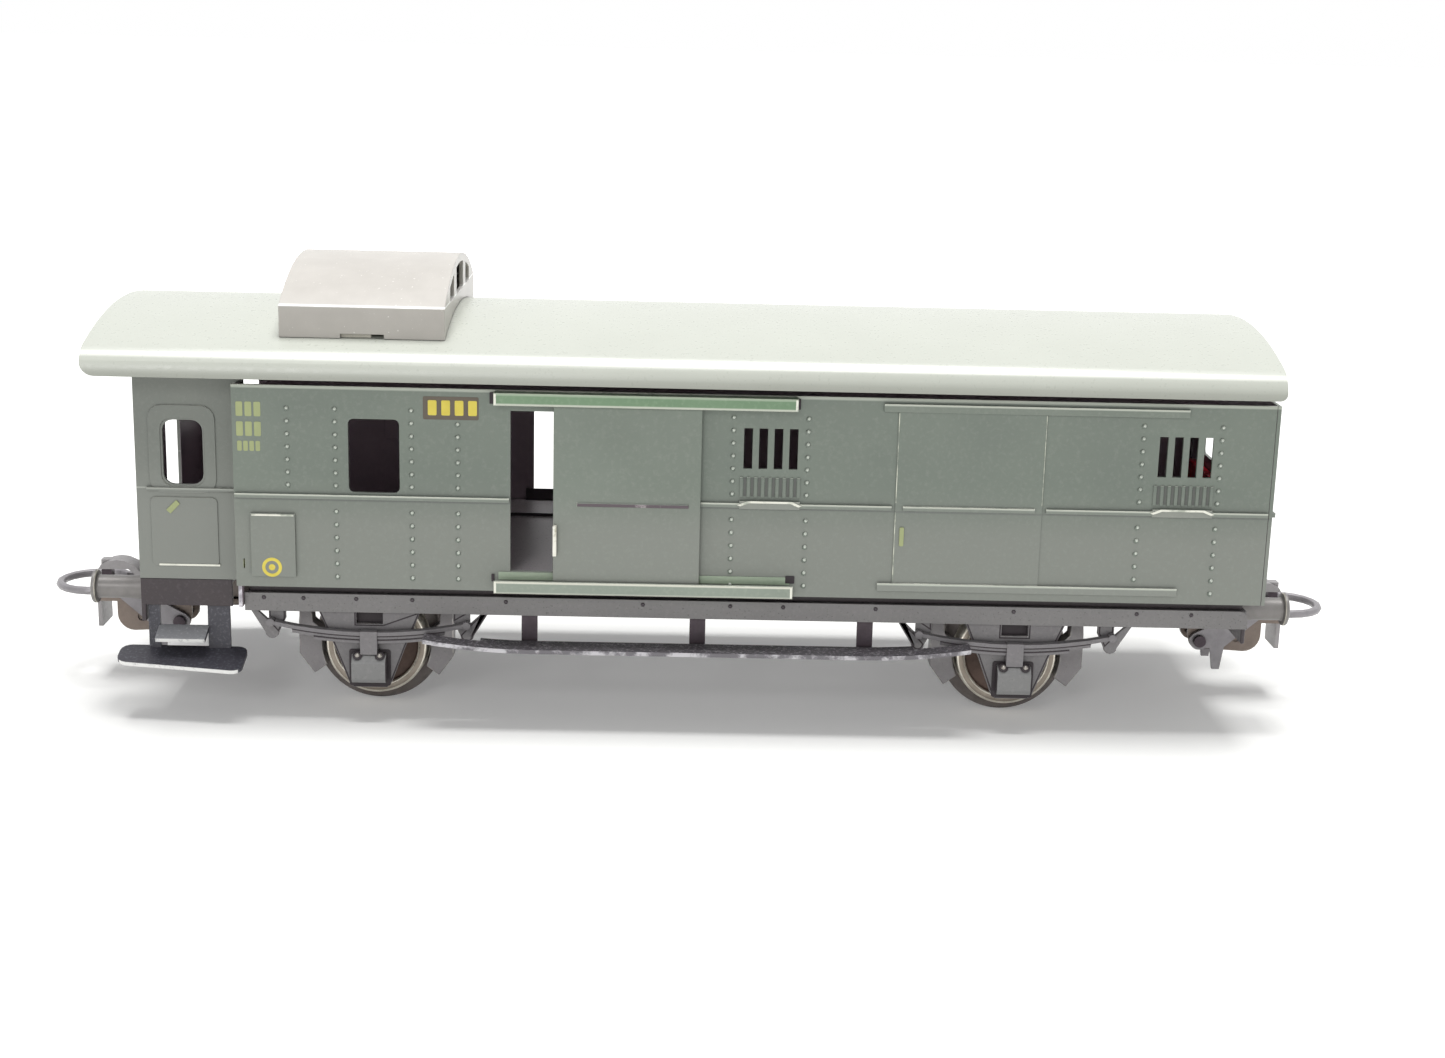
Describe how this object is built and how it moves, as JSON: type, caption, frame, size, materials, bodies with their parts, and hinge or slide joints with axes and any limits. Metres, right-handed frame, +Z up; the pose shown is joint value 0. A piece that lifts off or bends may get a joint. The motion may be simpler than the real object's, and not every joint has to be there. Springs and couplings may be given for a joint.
{
  "type": "model passenger coach",
  "caption": "Tinplate model passenger-train baggage coach with sliding side doors, barred windows, guard's porch, roof lookout, sprung axle guards, step boards and loop couplers.",
  "frame": {"origin": "middle of the coach's length and width, at the height of the wheel flanges' lowest points", "axes": "+X along the coach from the porch end to the plain end, +Y towards the side away from the picture's viewer, +Z up"},
  "size_m": [0.128, 0.0348, 0.0429],
  "materials": {
    "body_green": "satin enamel",
    "door_green": "satin enamel",
    "porch_green": "satin enamel",
    "roof_grey": "satin enamel",
    "cupola_grey": "smooth",
    "underframe_grey": "satin enamel",
    "floor_grey": "satin enamel",
    "headstock_black": "satin enamel",
    "running_gear_grey": "satin enamel",
    "board_black": "fine grained",
    "bright_steel": "bright",
    "wheel_steel": "turned",
    "buffer_grey": "satin",
    "coupler_grey": "dull plated",
    "lamp_red": "clear red"
  },
  "bodies": {
    "coach": {"side_wall_near": "body_green", "side_wall_far": "body_green", "porch_shell": "porch_green", "right_end_wall": "body_green", "tail_lamp_insert": "lamp_red", "roof": "roof_grey", "cupola": "cupola_grey", "floor_tray": "floor_grey", "underframe": "underframe_grey", "left_headstock": "headstock_black", "right_headstock": "headstock_black", "left_buffer_near": "buffer_grey", "left_buffer_far": "buffer_grey", "right_buffer_near": "buffer_grey", "right_buffer_far": "buffer_grey", "left_axle_guard_near": "running_gear_grey", "left_axle_guard_far": "running_gear_grey", "right_axle_guard_near": "running_gear_grey", "right_axle_guard_far": "running_gear_grey", "left_leaf_spring_near": "running_gear_grey", "left_leaf_spring_far": "running_gear_grey", "right_leaf_spring_near": "running_gear_grey", "right_leaf_spring_far": "running_gear_grey", "left_axle_box_near": "running_gear_grey", "left_axle_box_far": "running_gear_grey", "right_axle_box_near": "running_gear_grey", "right_axle_box_far": "running_gear_grey", "left_brake_shoe_near_outer": "running_gear_grey", "left_brake_shoe_near_inner": "running_gear_grey", "left_brake_shoe_far_outer": "running_gear_grey", "left_brake_shoe_far_inner": "running_gear_grey", "right_brake_shoe_near_outer": "running_gear_grey", "right_brake_shoe_near_inner": "running_gear_grey", "right_brake_shoe_far_outer": "running_gear_grey", "right_brake_shoe_far_inner": "running_gear_grey", "long_step_board_near": "board_black", "long_step_board_far": "board_black", "porch_step_near": "board_black", "porch_step_far": "board_black", "left_swing_pin": "bright_steel", "right_swing_pin": "bright_steel"},
    "near_door": {"sliding_door_near": "door_green"},
    "far_door": {"sliding_door_far": "door_green"},
    "left_wheelset": {"left_axle": "bright_steel", "left_wheel_near": "wheel_steel", "left_wheel_far": "wheel_steel"},
    "left_coupler": {"left_coupler_frame": "coupler_grey", "left_loop_pin": "bright_steel"},
    "left_loop": {"left_coupler_loop": "coupler_grey"},
    "right_wheelset": {"right_axle": "bright_steel", "right_wheel_near": "wheel_steel", "right_wheel_far": "wheel_steel"},
    "right_coupler": {"right_coupler_frame": "coupler_grey", "right_loop_pin": "bright_steel"},
    "right_loop": {"right_coupler_loop": "coupler_grey"}
  },
  "joints": [
    {"name": "near_door_slide", "type": "slide", "parent": "coach", "child": "near_door", "axis": [1, 0, 0], "range_m": [-0.0051, 0.0081]},
    {"name": "far_door_slide", "type": "slide", "parent": "coach", "child": "far_door", "axis": [1, 0, 0], "range_m": [-0.0051, 0.0081]},
    {"name": "left_wheelset_spin", "type": "hinge", "parent": "coach", "child": "left_wheelset", "pos_m": [-0.0306, 0, 0.00615], "axis": [0, 1, 0], "continuous": true},
    {"name": "left_coupler_swing", "type": "hinge", "parent": "coach", "child": "left_coupler", "pos_m": [-0.046, 0, 0.0081], "axis": [0, 0, 1], "range_deg": [-12, 12]},
    {"name": "left_loop_lift", "type": "hinge", "parent": "left_coupler", "child": "left_loop", "pos_m": [-0.0513, 0, 0.00585], "axis": [0, 1, 0], "range_deg": [0, 18]},
    {"name": "right_wheelset_spin", "type": "hinge", "parent": "coach", "child": "right_wheelset", "pos_m": [0.0306, 0, 0.00615], "axis": [0, 1, 0], "continuous": true},
    {"name": "right_coupler_swing", "type": "hinge", "parent": "coach", "child": "right_coupler", "pos_m": [0.046, 0, 0.0081], "axis": [0, 0, 1], "range_deg": [-12, 12]},
    {"name": "right_loop_lift", "type": "hinge", "parent": "right_coupler", "child": "right_loop", "pos_m": [0.0513, 0, 0.00585], "axis": [0, -1, 0], "range_deg": [0, 18]}
  ]
}
